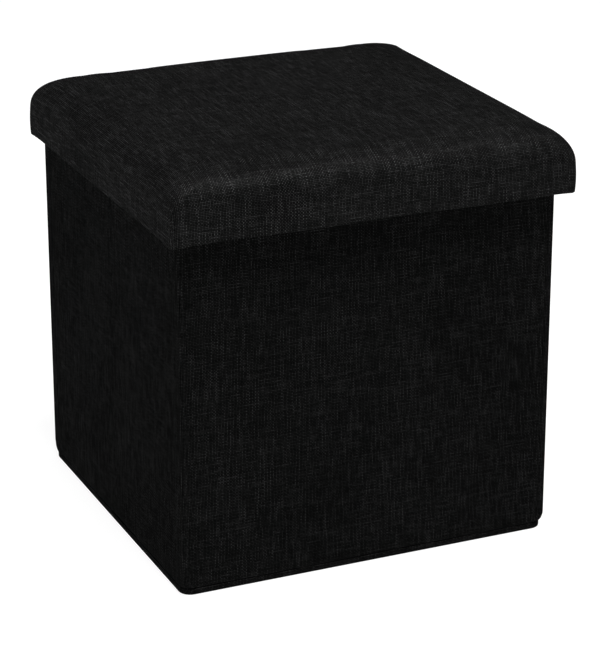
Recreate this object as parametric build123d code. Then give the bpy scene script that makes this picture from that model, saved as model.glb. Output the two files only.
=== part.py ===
from build123d import *
import os

# Folding storage ottoman with a lift-off padded lid. Millimetres, +Z up.
# The origin is the centre of the footprint on the floor. The front wall faces -Y.
# The left (-X) and right (+X) walls are each two halves that fold inwards at a centre crease.

# Driving dimensions
body_width = 348.0  # over the two folding walls, along X
body_depth = 334.0  # over the front and back walls, along Y
lid_width = 373.0
lid_depth = 362.0
total_height = 380.0
skirt_bottom = 319.5  # height of the lid skirt's lower edge
lid_shift_x = 2.0  # the loose lid sits slightly towards the right and the front
lid_shift_y = -1.0

# Cloth and board thicknesses
cover = 1.2
board = 4.0
lining = 0.8
wall = cover + board + lining
base_thickness = cover + board + lining

# Details
fold_clearance = 0.4  # between pieces that move past each other
crease_gap = 0.6  # between the two halves of a folding wall
panel_corner = 9.0  # lower outer corners of the wall panels, and base corners in plan
tape_height = 1.2
foam_height = 28.8
lid_corner = 9.0  # upright corners of the lid
lid_top_round = 8.0  # rounding of the lid's upper edge
rail = 4.0  # thickness of the boards inside the skirt

# Staples that hold the turned-in edge of the lid cover
staple_crown = 10.0
staple_wire = 0.6
staple_leg = 3.0
staples_per_side = 9
staple_margin = 30.0
staple_height = 8.0  # above the skirt's lower edge

# Derived levels
lid_board_top = total_height - cover - foam_height
lid_board_bottom = lid_board_top - board
wall_bottom = base_thickness + fold_clearance
wall_top = lid_board_bottom - lining - fold_clearance
half_width = body_width / 2
half_depth = body_depth / 2


def block(low, high):
    """A box between two opposite corners."""
    size = [top - bottom for bottom, top in zip(low, high)]
    return Pos(*low) * Box(*size, align=(Align.MIN, Align.MIN, Align.MIN))


def panel(low, high, start_round, end_round):
    """An upright plate along X with its two lower corners rounded."""
    solid = block(low, high)
    for side, radius in ((0, start_round), (-1, end_round)):
        if radius > 0:
            lower = solid.edges().filter_by(Axis.Y).group_by(Axis.Z)[0]
            solid = fillet(lower.sort_by(Axis.X)[side], radius)
    return solid


def wall_pieces(length, bottom, start_round, end_round):
    """Board, outer cover, lining and rim tape of one panel.

    The panel runs along +X from the origin with its outer face on Y = 0.
    """
    top = wall_top - tape_height
    board_start = max(start_round - cover, 0)
    board_end = max(end_round - cover, 0)
    pocket_low = (cover, cover, bottom + cover)
    pocket_high = (length - cover, cover + board, top)
    pocket = panel(pocket_low, pocket_high, board_start, board_end)
    shell = panel((0, 0, bottom), (length, cover + board, top), start_round, end_round)
    lining_low = (0, cover + board, bottom)
    sheet = panel(lining_low, (length, wall, top), start_round, end_round)
    return {
        "board": pocket,
        "cover": shell - pocket,
        "lining": sheet,
        "rim_tape": block((0, 0, top), (length, wall, wall_top)),
    }


def place(name, pieces, location):
    """The pieces of one panel, moved to its place and named after it."""
    return {f"{name}_{piece}": location * solid for piece, solid in pieces.items()}


def walls():
    """The whole front and back walls and the two halves of each folding wall."""
    inner_edge = half_depth - wall - fold_clearance
    half_length = inner_edge - crease_gap / 2
    front = wall_pieces(body_width, wall_bottom, panel_corner, panel_corner)
    back = wall_pieces(body_width, base_thickness, panel_corner, panel_corner)
    corner_first = wall_pieces(half_length, wall_bottom, panel_corner, 0)
    crease_first = wall_pieces(half_length, wall_bottom, 0, panel_corner)
    facing_left = Rot(0, 0, -90)
    facing_right = Rot(0, 0, 90)
    nodes = {}
    nodes |= place("front", front, Pos(-half_width, -half_depth, 0))
    nodes |= place("back", back, Pos(half_width, half_depth, 0) * Rot(0, 0, 180))
    nodes |= place("left_rear", corner_first, Pos(-half_width, inner_edge, 0) * facing_left)
    nodes |= place("left_front", crease_first, Pos(-half_width, -crease_gap / 2, 0) * facing_left)
    nodes |= place("right_front", corner_first, Pos(half_width, -inner_edge, 0) * facing_right)
    nodes |= place("right_rear", crease_first, Pos(half_width, crease_gap / 2, 0) * facing_right)
    return nodes


def rounded_slab(width, depth, bottom, top, radius):
    """A flat slab about the Z axis with rounded upright corners."""
    outline = RectangleRounded(width, depth, radius)
    return Pos(0, 0, bottom) * extrude(outline, top - bottom)


def base():
    """Bottom board in a cloth tray, with a lining sheet over it."""
    board_top = base_thickness - lining
    tray = rounded_slab(body_width, body_depth, 0, board_top, panel_corner)
    inner_width = body_width - 2 * cover
    inner_depth = body_depth - 2 * cover
    slab = rounded_slab(inner_width, inner_depth, cover, board_top, panel_corner - cover)
    sheet = rounded_slab(body_width, body_depth, board_top, base_thickness, panel_corner)
    return {"base_board": slab, "base_cover": tray - slab, "base_lining": sheet}


def pad_block(inset, bottom, top):
    """The lid's outer form, inset on every side, with its upper edge rounded."""
    width = lid_width - 2 * inset
    depth = lid_depth - 2 * inset
    solid = rounded_slab(width, depth, bottom, top, lid_corner - inset)
    return fillet(solid.edges().group_by(Axis.Z)[-1], lid_top_round - inset)


def skirt_hollow(inset, bottom, top):
    """The sharp-cornered space inside the skirt, at an inset from the lid's outer face."""
    x = lid_width / 2 - inset
    y = lid_depth / 2 - inset
    return block((-x, -y, bottom), (x, y, top))


def skirt_rails():
    """Four boards inside the skirt; the side boards stand between the long ones."""
    bottom = skirt_bottom + cover
    width = lid_width - 2 * cover
    depth = lid_depth - 2 * cover
    ring = rounded_slab(width, depth, bottom, lid_board_bottom, lid_corner - cover)
    ring -= skirt_hollow(cover + rail, bottom, lid_board_bottom)
    x = lid_width / 2
    y = lid_depth / 2
    y_inner = y - cover - rail
    return {
        "lid_front_rail": ring & block((-x, -y, bottom), (x, -y_inner, lid_board_bottom)),
        "lid_back_rail": ring & block((-x, y_inner, bottom), (x, y, lid_board_bottom)),
        "lid_left_rail": ring & block((-x, -y_inner, bottom), (0, y_inner, lid_board_bottom)),
        "lid_right_rail": ring & block((0, -y_inner, bottom), (x, y_inner, lid_board_bottom)),
    }


def staple():
    """One staple driven along +Y, with its crown's outer face on Y = 0."""
    reach = staple_crown / 2
    z = staple_wire / 2
    crown = block((-reach, 0, -z), (reach, staple_wire, z))
    left = block((-reach, 0, -z), (staple_wire - reach, staple_leg, z))
    right = block((reach - staple_wire, 0, -z), (reach, staple_leg, z))
    return crown + left + right


def staples():
    """Staples spaced along the inner faces of the four rails."""
    level = skirt_bottom + staple_height
    driven = staple()
    placed = []
    for turn in range(4):
        along = lid_width if turn % 2 == 0 else lid_depth
        across = lid_depth if turn % 2 == 0 else lid_width
        span = along - 2 * staple_margin
        face = across / 2 - cover - rail
        for index in range(staples_per_side):
            offset = span * (index / (staples_per_side - 1) - 0.5)
            placed.append(Rot(0, 0, 90 * turn) * Pos(offset, face, level) * driven)
    return Compound(placed)


def lid():
    """Padded lid: top board, foam, skirt boards, outer cover, lining and staples."""
    cover_form = pad_block(0, skirt_bottom, total_height)
    filling = pad_block(cover, skirt_bottom + cover, total_height - cover)
    mouth = skirt_hollow(cover + rail + lining, skirt_bottom, skirt_bottom + cover)
    lining_form = skirt_hollow(cover + rail, skirt_bottom + cover, lid_board_bottom)
    lining_space = skirt_hollow(cover + rail + lining, skirt_bottom + cover, lid_board_bottom - lining)
    width = lid_width - 2 * cover
    depth = lid_depth - 2 * cover
    pieces = {
        "lid_cover": cover_form - filling - mouth,
        "lid_foam": pad_block(cover, lid_board_top, total_height - cover),
        "lid_board": rounded_slab(width, depth, lid_board_bottom, lid_board_top, lid_corner - cover),
        "lid_lining": lining_form - lining_space,
        "lid_staples": staples(),
    }
    pieces |= skirt_rails()
    shift = Pos(lid_shift_x, lid_shift_y, 0)
    return {name: shift * solid for name, solid in pieces.items()}


os.makedirs("parts", exist_ok=True)
for node, shape in (walls() | base() | lid()).items():
    export_step(shape, f"parts/{node}.step")
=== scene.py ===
"""Looks of a folding storage ottoman: cloth, seams, padding and boards around its CAD frame."""

import logging
import math
from dataclasses import dataclass, field
from enum import Enum
from typing import Callable

import bmesh
import bpy
import numpy as np
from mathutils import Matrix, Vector


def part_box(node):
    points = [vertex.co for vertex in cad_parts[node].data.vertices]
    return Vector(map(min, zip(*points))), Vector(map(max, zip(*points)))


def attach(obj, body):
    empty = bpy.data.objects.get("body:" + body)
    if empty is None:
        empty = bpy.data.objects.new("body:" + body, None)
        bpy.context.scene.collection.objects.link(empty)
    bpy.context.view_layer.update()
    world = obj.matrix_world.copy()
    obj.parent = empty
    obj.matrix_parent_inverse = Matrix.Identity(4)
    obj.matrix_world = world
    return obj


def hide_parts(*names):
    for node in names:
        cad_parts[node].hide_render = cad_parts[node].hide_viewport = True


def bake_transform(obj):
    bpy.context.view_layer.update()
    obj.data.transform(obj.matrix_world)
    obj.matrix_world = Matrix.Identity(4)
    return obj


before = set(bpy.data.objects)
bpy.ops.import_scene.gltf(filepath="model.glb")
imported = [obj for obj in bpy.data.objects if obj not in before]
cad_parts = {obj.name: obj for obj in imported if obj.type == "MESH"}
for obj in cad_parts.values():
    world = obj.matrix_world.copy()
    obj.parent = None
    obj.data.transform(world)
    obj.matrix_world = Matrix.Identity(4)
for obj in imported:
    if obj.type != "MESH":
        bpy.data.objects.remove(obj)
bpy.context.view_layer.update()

LOG = logging.getLogger("ottoman")
MM = 0.001
UP = Vector((0, 0, 1))
CLOTH_MAP = "cloth"  # UV map that holds metres along the cloth
FLOAT, VECTOR = "NodeSocketFloat", "NodeSocketVector"
Socket = bpy.types.NodeSocket
Spot = tuple[float, float]  # metres along the cloth
Colour = tuple[float, float, float]


class Side(Enum):
    """Outward direction of each wall of the box."""

    FRONT = (0, -1, 0)
    BACK = (0, 1, 0)
    LEFT = (-1, 0, 0)
    RIGHT = (1, 0, 0)

    @property
    def outward(self) -> Vector:
        """Unit vector that points out of the wall."""
        return Vector(self.value)

    @property
    def along(self) -> Vector:
        """Unit vector along the wall, to the right for someone facing it from outside."""
        return UP.cross(self.outward)


class SleeveCut(Enum):
    """Which stretch of a corner sleeve is made."""

    WHOLE = "whole"
    WALL = "wall"
    HALF = "half"


# ---------------------------------------------------------------- node helpers


class Nodes:
    """Short ways to add nodes to a tree and to join them."""

    def __init__(self, tree: bpy.types.NodeTree) -> None:
        """Keeps the tree that the nodes are added to."""
        self.tree = tree

    def feed(self, socket: Socket, value) -> None:
        """Joins a socket to another one, or sets its plain value.

        Args:
            socket: the input to feed.
            value: an output, or a plain number, vector, colour or material.
        """
        if isinstance(value, Socket):
            self.tree.links.new(value, socket)
        else:
            socket.default_value = value

    def add(self, kind: str, feeds: dict | None = None, **settings) -> bpy.types.Node:
        """Adds a node.

        Args:
            kind: Blender's type name of the node.
            feeds: what some of its inputs are fed, by their names or numbers.
            settings: properties to set on it.

        Returns:
            The new node.
        """
        node = self.tree.nodes.new(kind)
        for name, value in settings.items():
            setattr(node, name, value)
        for key, value in (feeds or {}).items():
            self.feed(node.inputs[key], value)
        return node

    def math(self, operation: str, *values) -> Socket:
        """Result of a Math node on sockets or numbers."""
        return self.add("ShaderNodeMath", dict(enumerate(values)), operation=operation).outputs[0]

    def arch(self, value) -> Socket:
        """A half wave, from 0 up to 1 and back, over each whole step of a value."""
        return self.math("SINE", self.math("MULTIPLY", self.math("FRACT", value), math.pi))

    def join(self, x=0.0, y=0.0, z=0.0) -> Socket:
        """A vector made of three sockets or numbers."""
        return self.add("ShaderNodeCombineXYZ", {0: x, 1: y, 2: z}).outputs[0]

    def split(self, vector: Socket) -> tuple[Socket, ...]:
        """The three parts of a vector."""
        return tuple(self.add("ShaderNodeSeparateXYZ", {0: vector}).outputs)

    def noise(self, vector: Socket, scale: float, detail: float = 2.0) -> Socket:
        """Smooth noise from 0 to 1 over a vector."""
        feeds = {"Vector": vector, "Scale": scale, "Detail": detail}
        return self.add("ShaderNodeTexNoise", feeds).outputs["Fac"]

    def spread(self, value, low: float, high: float, start: float = 0.0, end: float = 1.0) -> Socket:
        """Maps low..high to start..end, clamped."""
        return self.add("ShaderNodeMapRange", dict(enumerate((value, low, high, start, end)))).outputs[0]

    def colour(self, factor: Socket, first: Colour, second: Colour) -> Socket:
        """Mixes two colours by a factor."""
        feeds = {0: factor, 6: (*first, 1), 7: (*second, 1)}
        return self.add("ShaderNodeMix", feeds, data_type="RGBA").outputs[2]

    def bump(self, height: Socket, depth: float) -> Socket:
        """Turns a height into a surface normal."""
        return self.add("ShaderNodeBump", {"Strength": 1.0, "Distance": depth, "Height": height}).outputs[0]

    def cloth(self) -> Socket:
        """Metres along the cloth."""
        return self.add("ShaderNodeUVMap", uv_map=CLOTH_MAP).outputs[0]

    def place(self) -> Socket:
        """The point on the object."""
        return self.add("ShaderNodeTexCoord").outputs["Object"]

    def drift(self, amount: float) -> Socket:
        """Slow drift of shade over a piece, around 1."""
        return self.group("handled_cloth", drift_group, Place=self.place(), Amount=amount).outputs[0]

    def group(self, name: str, maker: Callable[[], bpy.types.NodeTree], **values) -> bpy.types.Node:
        """Places a shared node group, and makes it when it is first asked for.

        Args:
            name: the group's name.
            maker: builds the group.
            values: what its inputs are fed; underscores in their names stand for spaces.

        Returns:
            The group's node.
        """
        tree = bpy.data.node_groups.get(name) or maker()
        feeds = {label.replace("_", " "): value for label, value in values.items()}
        return self.add("ShaderNodeGroup", feeds, node_tree=tree)


def new_group(
    name: str, inputs: dict[str, str], outputs: dict[str, str], kind: str = "ShaderNodeTree"
) -> tuple:
    """Starts a node group.

    Args:
        name: the group's name.
        inputs: socket type for each input's name.
        outputs: socket type for each output's name.
        kind: Blender's type name of the tree.

    Returns:
        The tree, its node helper, its input node and its output node.
    """
    tree = bpy.data.node_groups.new(name, kind)
    for way, sockets in (("INPUT", inputs), ("OUTPUT", outputs)):
        for label, kind in sockets.items():
            tree.interface.new_socket(name=label, in_out=way, socket_type=kind)
    nodes = Nodes(tree)
    return tree, nodes, nodes.add("NodeGroupInput"), nodes.add("NodeGroupOutput")


def yarn_tone(n: Nodes, thread: Socket, run: Socket, salt: float) -> Socket:
    """Tone of one yarn along its length.

    Args:
        n: the tree's helper.
        thread: number of the yarn.
        run: place along the yarn, in slub lengths.
        salt: sets warp and weft apart.

    Returns:
        A tone from 0 to 1, partly shared by neighbouring yarns.
    """
    single = n.noise(n.join(n.math("MULTIPLY_ADD", thread, 7.0, 0.5), run, salt), 1.0)
    wide_run = n.math("MULTIPLY", run, 0.55)
    band = n.noise(n.join(n.math("MULTIPLY", thread, 0.31), wide_run, salt + 4.0), 1.0)
    return n.math("MULTIPLY_ADD", band, 0.1, n.math("MULTIPLY", single, 0.9))


def weave_group() -> bpy.types.NodeTree:
    """Plain weave of uneven yarns.

    Returns:
        The node group. Its Cloth input is metres along the cloth. It gives the tone of the
        thread on top, the threads' height, and a painted shade factor that is 0 in the gaps
        between them.
    """
    inputs = {"Cloth": VECTOR, "Pitch": FLOAT, "Slub length": FLOAT, "Fleck": FLOAT, "Weft shade": FLOAT}
    tree, n, given, made = new_group("plain_weave", inputs, {"Tone": FLOAT, "Height": FLOAT, "Gap shade": FLOAT})
    cloth, pitch, slub = (given.outputs[name] for name in ("Cloth", "Pitch", "Slub length"))
    sway = n.math("MULTIPLY", n.math("SUBTRACT", n.noise(cloth, 24.0), 0.5), 2.2 * MM)
    across, up, _ = n.split(cloth)
    across, up = n.math("ADD", across, sway), n.math("ADD", up, sway)
    u, v = n.math("DIVIDE", across, pitch), n.math("DIVIDE", up, pitch)
    warp, weft = n.math("FLOOR", u), n.math("FLOOR", v)
    arch_u, arch_v = n.arch(u), n.arch(v)
    odd = n.math("FLOORED_MODULO", n.math("ADD", warp, weft), 2.0)
    sign = n.math("MULTIPLY_ADD", odd, -1.0, 0.5)
    warp_high = n.math("MULTIPLY", arch_u, n.math("MULTIPLY_ADD", arch_v, sign, 0.5))
    weft_high = n.math("MULTIPLY", arch_v, n.math("SUBTRACT", 0.5, n.math("MULTIPLY", arch_u, sign)))
    on_top = n.math("GREATER_THAN", warp_high, weft_high)
    height = n.math("MAXIMUM", warp_high, weft_high)
    warp_tone = yarn_tone(n, warp, n.math("DIVIDE", up, slub), 3.5)
    weft_tone = yarn_tone(n, weft, n.math("DIVIDE", across, slub), 23.5)
    tones = []
    for tone, shade in ((weft_tone, given.outputs["Weft shade"]), (warp_tone, 1.0)):
        fleck = n.math("POWER", n.spread(tone, 0.38, 0.66), given.outputs["Fleck"])
        tones.append(n.math("MULTIPLY", n.math("MULTIPLY_ADD", fleck, 0.78, 0.22), shade))
    tone = n.add("ShaderNodeMix", {0: on_top, 2: tones[0], 3: tones[1]}, data_type="FLOAT").outputs[0]
    n.feed(made.inputs["Tone"], tone)
    n.feed(made.inputs["Height"], n.math("MULTIPLY", height, n.math("MULTIPLY_ADD", tone, 0.35, 0.8)))
    # Painted shade between threads: 0 where the threads dip between each other, 1 on their tops.
    n.feed(made.inputs["Gap shade"], n.spread(height, 0.36, 0.8))
    return tree


def drift_group() -> bpy.types.NodeTree:
    """Slow drift of shade over a surface.

    Returns:
        The node group, with a Drift around 1.
    """
    tree, n, given, made = new_group("handled_cloth", {"Place": VECTOR, "Amount": FLOAT}, {"Drift": FLOAT})
    place = given.outputs["Place"]
    broad = n.math("SUBTRACT", n.noise(place, 9.0, 3.0), 0.5)
    fine = n.math("SUBTRACT", n.noise(place, 46.0, 4.0), 0.5)
    both = n.math("ADD", broad, n.math("MULTIPLY", fine, 0.6))
    n.feed(made.inputs["Drift"], n.math("MULTIPLY_ADD", both, given.outputs["Amount"], 1.0))
    return tree


# ---------------------------------------------------------------- finishes


@dataclass(frozen=True)
class Finish:
    """A named material; each kind of finish says what its shader is fed."""

    name: str

    def material(self) -> bpy.types.Material:
        """The finish's material, made when it is first asked for.

        Returns:
            The same material each time.
        """
        made = bpy.data.materials.get(self.name)
        if made is None:
            made = bpy.data.materials.new(self.name)
            made.use_nodes = True
            made.node_tree.nodes.clear()
            n = Nodes(made.node_tree)
            shader = n.add("ShaderNodeBsdfPrincipled", self.feeds(n))
            n.add("ShaderNodeOutputMaterial", {"Surface": shader.outputs[0]})
        return made

    def feeds(self, n: Nodes) -> dict:
        """What each socket of the shader is fed."""
        raise NotImplementedError

    def dress(self, *nodes: str) -> None:
        """Gives the finish to CAD nodes.

        Args:
            nodes: their names.
        """
        for name in nodes:
            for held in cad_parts[name].material_slots:
                held.material = self.material()


@dataclass(frozen=True)
class WovenCloth(Finish):
    """Matt linen-look cloth in a plain weave with slubs."""

    ground: Colour = (0.0005, 0.0005, 0.0005)
    fleck: Colour = (0.036, 0.036, 0.0362)
    pitch: float = 1.35 * MM
    slub: float = 14 * MM
    contrast: float = 2.0
    weft_shade: float = 0.62
    gloss: float = 0.012
    relief: float = 0.3 * MM

    def feeds(self, n: Nodes) -> dict:
        """Weave for colour and bump, painted shade in the gaps between threads, and a slow drift of shade
        over the piece.

        Args:
            n: the material's helper.

        Returns:
            What each socket of the shader is fed.
        """
        sizes = {"Pitch": self.pitch, "Slub_length": self.slub, "Fleck": self.contrast}
        weave = n.group("plain_weave", weave_group, Cloth=n.cloth(), Weft_shade=self.weft_shade, **sizes)
        # Painted shade: the colour is darkened in the gaps between threads.
        tone = n.math("MULTIPLY", weave.outputs["Tone"], weave.outputs["Gap shade"])
        tone = n.math("MULTIPLY", tone, n.drift(0.5))
        return {
            "Base Color": n.colour(tone, self.ground, self.fleck),
            "Roughness": n.spread(weave.outputs["Tone"], 0.0, 1.0, 0.95, 0.8),
            "Specular IOR Level": 0.0,
            "Coat Weight": n.math("MULTIPLY", tone, self.gloss),
            "Coat Roughness": 0.5,
            "Coat IOR": 2.6,
            "Normal": n.bump(weave.outputs["Height"], self.relief),
        }


@dataclass(frozen=True)
class LiningCloth(Finish):
    """Thin non-woven cloth with rows of heat-bonded dots."""

    light: Colour = (0.05, 0.05, 0.053)
    dot_pitch: float = 1.6 * MM

    def feeds(self, n: Nodes) -> dict:
        """Dimples in offset rows over tangled fibres.

        Args:
            n: the material's helper.

        Returns:
            What each socket of the shader is fed.
        """
        u, v, _ = n.split(n.cloth())
        row = n.math("DIVIDE", v, self.dot_pitch)
        shift = n.math("MULTIPLY", n.math("FLOORED_MODULO", n.math("FLOOR", row), 2.0), 0.5)
        across = n.math("ADD", n.math("DIVIDE", u, self.dot_pitch), shift)
        dot = n.spread(n.math("MULTIPLY", n.arch(across), n.arch(row)), 0.55, 0.8)
        fibre = n.noise(n.place(), 1500.0, 3.0)
        tone = n.math("MULTIPLY", n.spread(fibre, 0.3, 0.75, 0.6, 1.5), n.drift(0.5))
        shade = n.math("MULTIPLY", tone, n.spread(dot, 0.0, 1.0, 0.5, 0.3))
        return {
            "Base Color": n.colour(shade, (0, 0, 0), self.light),
            "Roughness": n.spread(dot, 0.0, 1.0, 0.9, 0.55),
            "Specular IOR Level": 0.08,
            "Normal": n.bump(n.math("SUBTRACT", n.math("MULTIPLY", fibre, 0.35), dot), 0.2 * MM),
        }


@dataclass(frozen=True)
class BindingTape(Finish):
    """Narrow ribbed tape folded over the walls' upper edges."""

    dark: Colour = (0.002, 0.002, 0.002)
    light: Colour = (0.0075, 0.0075, 0.008)
    rib: float = 0.9 * MM

    def feeds(self, n: Nodes) -> dict:
        """Fine ribs along the tape, broken by the crossing threads, with painted shade in the grooves.

        Args:
            n: the material's helper.

        Returns:
            What each socket of the shader is fed.
        """
        u, v, _ = n.split(n.cloth())
        rib = n.arch(n.math("DIVIDE", u, self.rib))
        cross = n.arch(n.math("DIVIDE", v, 0.5 * self.rib))
        height = n.math("MULTIPLY", rib, n.math("MULTIPLY_ADD", cross, 0.25, 0.75))
        return {
            # Colour follows the rib height, so the grooves get painted shade and the rib tops are lighter.
            "Base Color": n.colour(n.math("MULTIPLY", height, n.drift(0.6)), self.dark, self.light),
            "Roughness": n.spread(height, 0.0, 1.0, 0.85, 0.6),
            "Specular IOR Level": 0.08,
            "Normal": n.bump(height, 0.2 * MM),
        }


@dataclass(frozen=True)
class SewingThread(Finish):
    """Twisted polyester thread with a slight shine."""

    dark: Colour = (0.003, 0.003, 0.003)
    light: Colour = (0.009, 0.009, 0.0095)

    def feeds(self, n: Nodes) -> dict:
        """Twist lines from a fine wave across the thread, painted as light ridges and shaded grooves.

        Args:
            n: the material's helper.

        Returns:
            What each socket of the shader is fed.
        """
        wave = n.add("ShaderNodeTexWave", {"Vector": n.place(), "Scale": 900.0}, bands_direction="DIAGONAL")
        twist = wave.outputs["Fac"]
        return {
            # The twist wave paints shade in the grooves of the twist and light on its ridges.
            "Base Color": n.colour(twist, self.dark, self.light),
            "Roughness": n.spread(twist, 0.0, 1.0, 0.8, 0.6),
            "Specular IOR Level": 0.02,
            "Normal": n.bump(twist, 0.08 * MM),
        }


@dataclass(frozen=True)
class FibreBoard(Finish):
    """Raw pressed board of fine wood fibre."""

    dark: Colour = (0.16, 0.10, 0.055)
    light: Colour = (0.34, 0.23, 0.13)

    def feeds(self, n: Nodes) -> dict:
        """Short tangled fibres with darker specks.

        Args:
            n: the material's helper.

        Returns:
            What each socket of the shader is fed.
        """
        fibre, speck = n.noise(n.place(), 700.0, 5.0), n.noise(n.place(), 160.0)
        tone = n.math("MULTIPLY", n.spread(fibre, 0.3, 0.7), n.spread(speck, 0.25, 0.45, 0.5, 1.0))
        return {
            "Base Color": n.colour(tone, self.dark, self.light),
            "Roughness": n.spread(fibre, 0.3, 0.7, 0.9, 0.7),
            "Normal": n.bump(fibre, 0.15 * MM),
        }


@dataclass(frozen=True)
class CushionFoam(Finish):
    """Open-cell seat foam."""

    dark: Colour = (0.396, 0.363, 0.253)
    light: Colour = (0.72, 0.66, 0.46)

    def feeds(self, n: Nodes) -> dict:
        """Cells pitted into the surface, with painted shade in the pits.

        Args:
            n: the material's helper.

        Returns:
            What each socket of the shader is fed.
        """
        cells = n.add("ShaderNodeTexVoronoi", {"Vector": n.place(), "Scale": 900.0})
        pit = n.spread(cells.outputs["Distance"], 0.1, 0.5)
        return {
            # Colour follows the pits: painted shade darkens them.
            "Base Color": n.colour(pit, self.dark, self.light),
            "Roughness": n.spread(pit, 0.0, 1.0, 1.0, 0.85),
            "Normal": n.bump(pit, 0.5 * MM),
        }


@dataclass(frozen=True)
class StapleWire(Finish):
    """Zinc-coated flat wire."""

    dull: Colour = (0.336, 0.336, 0.348)
    bright: Colour = (0.56, 0.56, 0.58)

    def feeds(self, n: Nodes) -> dict:
        """Bright metal, duller in small patches.

        Args:
            n: the material's helper.

        Returns:
            What each socket of the shader is fed.
        """
        patch = n.noise(n.place(), 900.0, 3.0)
        return {
            "Base Color": n.colour(patch, self.dull, self.bright),
            "Roughness": n.spread(patch, 0.3, 0.7, 0.25, 0.5),
            "Metallic": 1.0,
            "Normal": n.bump(patch, 0.03 * MM),
        }


OUTER_CLOTH = WovenCloth("outer_linen_cloth")
LID_CLOTH = WovenCloth("lid_linen_cloth", weft_shade=0.58, gloss=0.15)
LINING = LiningCloth("bonded_lining")
TAPE = BindingTape("rim_binding")
THREAD = SewingThread("black_thread")
BOARD = FibreBoard("raw_fibre_board")
FOAM = CushionFoam("seat_foam")
WIRE = StapleWire("staple_zinc")


# ---------------------------------------------------------------- mesh helpers


def new_object(name: str, data: bpy.types.ID) -> bpy.types.Object:
    """Puts a new object in the scene.

    Args:
        name: its name.
        data: its mesh, lamp or camera.

    Returns:
        The object, at the origin.
    """
    made = bpy.data.objects.new(name, data)
    bpy.context.scene.collection.objects.link(made)
    return made


def settle(piece: bpy.types.Object, body: str, stands_for: str = "") -> bpy.types.Object:
    """Fixes a finished piece to its body.

    Args:
        piece: the piece.
        body: the CAD body that it rides on.
        stands_for: the CAD node that it replaces, if any.

    Returns:
        The same piece.
    """
    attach(piece, body)
    if stands_for:
        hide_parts(stands_for)
    LOG.info("made %s", piece.name)
    return piece


@dataclass
class Patch:
    """Points, faces and cloth coordinates of a mesh under construction, in metres."""

    points: list[Vector] = field(default_factory=list)
    cloth: list[Spot] = field(default_factory=list)
    faces: list[tuple[int, ...]] = field(default_factory=list)
    side_cloth: dict[int, Spot] = field(default_factory=dict)  # used by the side faces
    side_faces: set[int] = field(default_factory=set)

    def add(self, point: Vector, cloth: Spot) -> int:
        """Adds a point.

        Args:
            point: where it is.
            cloth: its cloth coordinates.

        Returns:
            Its index.
        """
        self.points.append(point)
        self.cloth.append(cloth)
        return len(self.points) - 1

    def bridge(self, first: list[int], second: list[int], closed: bool = True) -> None:
        """Joins two loops or rows of the same length with quads.

        Args:
            first: indices of one row.
            second: indices of the other.
            closed: joins the rows' ends too, as for a loop.
        """
        for i in range(len(first) if closed else len(first) - 1):
            j = (i + 1) % len(first)
            self.faces.append((first[i], second[i], second[j], first[j]))

    def grid(self, across: int, up: int, put: Callable[[int, int], int]) -> tuple[list[int], list]:
        """Adds a grid of points with its faces.

        Args:
            across: number of grid lines one way.
            up: number of grid lines the other way.
            put: adds the point at two line numbers, and gives its index.

        Returns:
            The points of the grid's edge, anticlockwise, and their line numbers.
        """
        points = [[put(i, j) for j in range(up)] for i in range(across)]
        for first, second in zip(points, points[1:]):
            self.bridge(first, second, closed=False)
        last, top = across - 1, up - 1
        edge = [(i, 0) for i in range(last)] + [(last, j) for j in range(top)]
        edge += [(i, top) for i in range(last, 0, -1)] + [(0, j) for j in range(top, 0, -1)]
        return [points[i][j] for i, j in edge], edge

    def build(self, name: str, finish: Finish, recalculate: bool = False) -> bpy.types.Object:
        """Makes the mesh object.

        Args:
            name: the piece's name.
            finish: what it is made of.
            recalculate: turns the faces of a closed shape outwards.

        Returns:
            The new object, smooth shaded, at the origin.
        """
        mesh = bpy.data.meshes.new(name)
        mesh.from_pydata([tuple(p) for p in self.points], [], self.faces)
        layer = mesh.uv_layers.new(name=CLOTH_MAP)
        for index, face in enumerate(mesh.polygons):
            aside = self.side_cloth if index in self.side_faces else {}
            for corner in face.loop_indices:
                point = mesh.loops[corner].vertex_index
                layer.data[corner].uv = aside.get(point, self.cloth[point])
        if recalculate:
            form = bmesh.new()
            form.from_mesh(mesh)
            bmesh.ops.recalc_face_normals(form, faces=form.faces)
            form.to_mesh(mesh)
            form.free()
        mesh.shade_smooth()
        mesh.materials.append(finish.material())
        return new_object(name, mesh)


def stations(length: float, cell: float, *rounds: float) -> np.ndarray:
    """Grid lines along a side, closer together in its rounded ends.

    Args:
        length: the side's length.
        cell: about how far apart the lines are in the middle.
        rounds: radii of the roundings at both ends.

    Returns:
        Rising distances from 0 to the length.
    """
    biggest = max(rounds)
    middle = np.linspace(biggest, length - biggest, max(2, round((length - 2 * biggest) / cell)) + 1)
    near = np.concatenate([np.linspace(0, r, 4) for r in rounds])
    lines = np.unique(np.round(np.concatenate([near, middle, length - near]), 7))
    keep = np.concatenate([[True], np.diff(lines) > 0.02 * MM])
    return lines[keep]


def thicken(piece: bpy.types.Object, thickness: float) -> None:
    """Gives an open skin its cloth thickness, inwards.

    Args:
        piece: the skin.
        thickness: how thick the cloth is.
    """
    shell = piece.modifiers.new("cloth_thickness", "SOLIDIFY")
    shell.thickness = thickness
    shell.offset = -1.0
    shell.use_even_offset = True


def flatten(piece: bpy.types.Object) -> None:
    """Turns a piece's modifiers into plain mesh.

    Args:
        piece: the piece, whose modifiers are removed.
    """
    seen = piece.evaluated_get(bpy.context.evaluated_depsgraph_get())
    mesh = bpy.data.meshes.new_from_object(seen)
    piece.modifiers.clear()
    piece.data = mesh


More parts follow.
